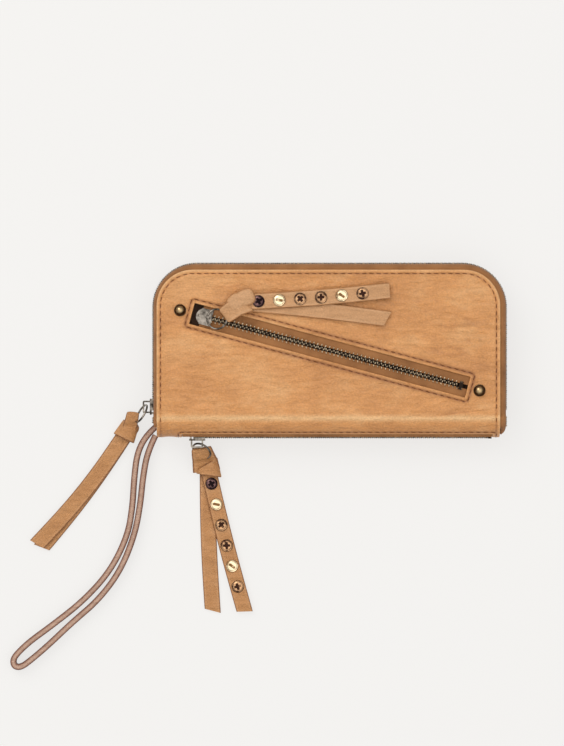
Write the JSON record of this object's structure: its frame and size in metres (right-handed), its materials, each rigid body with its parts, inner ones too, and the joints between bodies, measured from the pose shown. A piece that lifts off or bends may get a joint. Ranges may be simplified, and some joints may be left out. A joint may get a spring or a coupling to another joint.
{
  "type": "zip around wallet",
  "caption": "Long leather wallet with a zip round its edges, a zipped coin pocket in its spine, a slanted zip pocket on its front, ring pulls with knotted strips and a wrist loop.",
  "frame": {"origin": "centre of the flat back face, which lies on the table", "axes": "+X along the wallet's length, +Y from the spine to the long opening edge, +Z out of the front face"},
  "size_m": [0.2803, 0.2302, 0.033],
  "materials": {
    "skin": "waxed, rubbed lighter on the high spots",
    "inner_leather": "smooth",
    "strap_leather": "burnished edge",
    "tassel_leather": "smooth",
    "zip_tape": "woven tape",
    "lining": "twill",
    "board": "fibre board",
    "antique_brass": "antiqued, oxidised",
    "gunmetal": "antiqued nickel",
    "rivet_brass": "polished, aged"
  },
  "bodies": {
    "back_cover": {"back_and_spine_leather": "skin", "back_board": "board", "back_lining": "lining", "card_slot_1": "inner_leather", "card_slot_2": "inner_leather", "card_slot_3": "inner_leather", "card_slot_4": "inner_leather", "back_zip_tape": "zip_tape", "back_zip_teeth": "antique_brass", "spine_tape_upper": "zip_tape", "spine_tape_lower": "zip_tape", "spine_teeth_upper": "antique_brass", "spine_teeth_lower": "antique_brass", "spine_zip_stop": "antique_brass", "left_end_tab": "skin", "right_end_tab": "skin", "left_tape_end": "zip_tape", "right_tape_end": "zip_tape", "left_end_teeth": "antique_brass", "right_end_teeth": "antique_brass", "coin_collar_lower": "lining", "coin_collar_upper": "lining", "wrist_strap": "strap_leather"},
    "front_cover": {"front_leather": "skin", "front_board": "board", "front_lining": "lining", "front_zip_tape": "zip_tape", "front_zip_teeth": "antique_brass", "pocket_tape_upper": "zip_tape", "pocket_tape_lower": "zip_tape", "pocket_teeth_upper": "antique_brass", "pocket_teeth_lower": "antique_brass", "pocket_zip_stop": "antique_brass", "pocket_bag": "lining", "left_stud": "antique_brass", "left_stud_back": "antique_brass", "right_stud": "antique_brass", "right_stud_back": "antique_brass"},
    "coin_pocket": {"coin_pocket_back_wall": "lining", "coin_pocket_front_wall": "lining"},
    "main_slider": {"main_slider_body": "gunmetal", "main_slider_bail": "gunmetal"},
    "main_ring": {"main_pull_ring": "gunmetal"},
    "main_pull": {"main_tassel": "tassel_leather"},
    "spine_slider": {"spine_slider_body": "gunmetal", "spine_slider_bail": "gunmetal"},
    "spine_ring": {"spine_pull_ring": "gunmetal"},
    "spine_pull": {"spine_tassel": "tassel_leather", "spine_tassel_rivets": "rivet_brass"},
    "pocket_slider": {"pocket_slider_body": "gunmetal", "pocket_slider_bail": "gunmetal"},
    "pocket_ring": {"pocket_pull_ring": "gunmetal"},
    "pocket_pull": {"pocket_tassel": "tassel_leather", "pocket_tassel_rivets": "rivet_brass"}
  },
  "joints": [
    {"name": "cover_hinge", "type": "hinge", "parent": "back_cover", "child": "front_cover", "pos_m": [0, -0.0359, 0.026], "axis": [1, 0, 0], "range_deg": [0, 120]},
    {"name": "coin_pocket_hinge", "type": "hinge", "parent": "back_cover", "child": "coin_pocket", "pos_m": [0, -0.038, 0.0123], "axis": [1, 0, 0], "range_deg": [0, 60]},
    {"name": "main_zip_slide", "type": "slide", "parent": "back_cover", "child": "main_slider", "axis": [0, 1, 0], "range_m": [0, 0.05], "deforming": ["back_zip_teeth", "front_zip_teeth"]},
    {"name": "main_ring_swing", "type": "hinge", "parent": "main_slider", "child": "main_ring", "pos_m": [-0.1029, -0.0318, 0.013], "axis": [0, 0, -1], "range_deg": [0, 70]},
    {"name": "main_tassel_swing", "type": "hinge", "parent": "main_ring", "child": "main_pull", "pos_m": [-0.1087, -0.03872, 0.00839], "axis": [0.0126, 0.547, -0.837], "range_deg": [0, 40]},
    {"name": "spine_zip_slide", "type": "slide", "parent": "back_cover", "child": "spine_slider", "axis": [1, 0, 0], "range_m": [0, 0.155], "deforming": ["spine_teeth_upper", "spine_teeth_lower"]},
    {"name": "spine_ring_swing", "type": "hinge", "parent": "spine_slider", "child": "spine_ring", "pos_m": [-0.0747, -0.0525, 0.013], "axis": [0, 0, 1], "range_deg": [0, 25]},
    {"name": "spine_tassel_swing", "type": "hinge", "parent": "spine_ring", "child": "spine_pull", "pos_m": [-0.06992, -0.06016, 0.00839], "axis": [-0.77, -0.1021, -0.6298], "range_deg": [0, 20]},
    {"name": "pocket_zip_slide", "type": "slide", "parent": "front_cover", "child": "pocket_slider", "axis": [0.9659, -0.2588, 0], "range_m": [0, 0.14], "deforming": ["pocket_teeth_upper", "pocket_teeth_lower"]},
    {"name": "pocket_ring_lift", "type": "hinge", "parent": "pocket_slider", "child": "pocket_ring", "pos_m": [-0.06868, 0.0184, 0.02865], "axis": [-0.1564, -0.9877, 0], "range_deg": [0, 100]},
    {"name": "pocket_tassel_lift", "type": "hinge", "parent": "pocket_ring", "child": "pocket_pull", "pos_m": [-0.05975, 0.02058, 0.02865], "axis": [0.6561, -0.7547, 0], "range_deg": [0, 70]}
  ],
  "couplings": [
    {"joint": "coin_pocket_hinge", "follows": "cover_hinge", "ratio": 0.5}
  ]
}
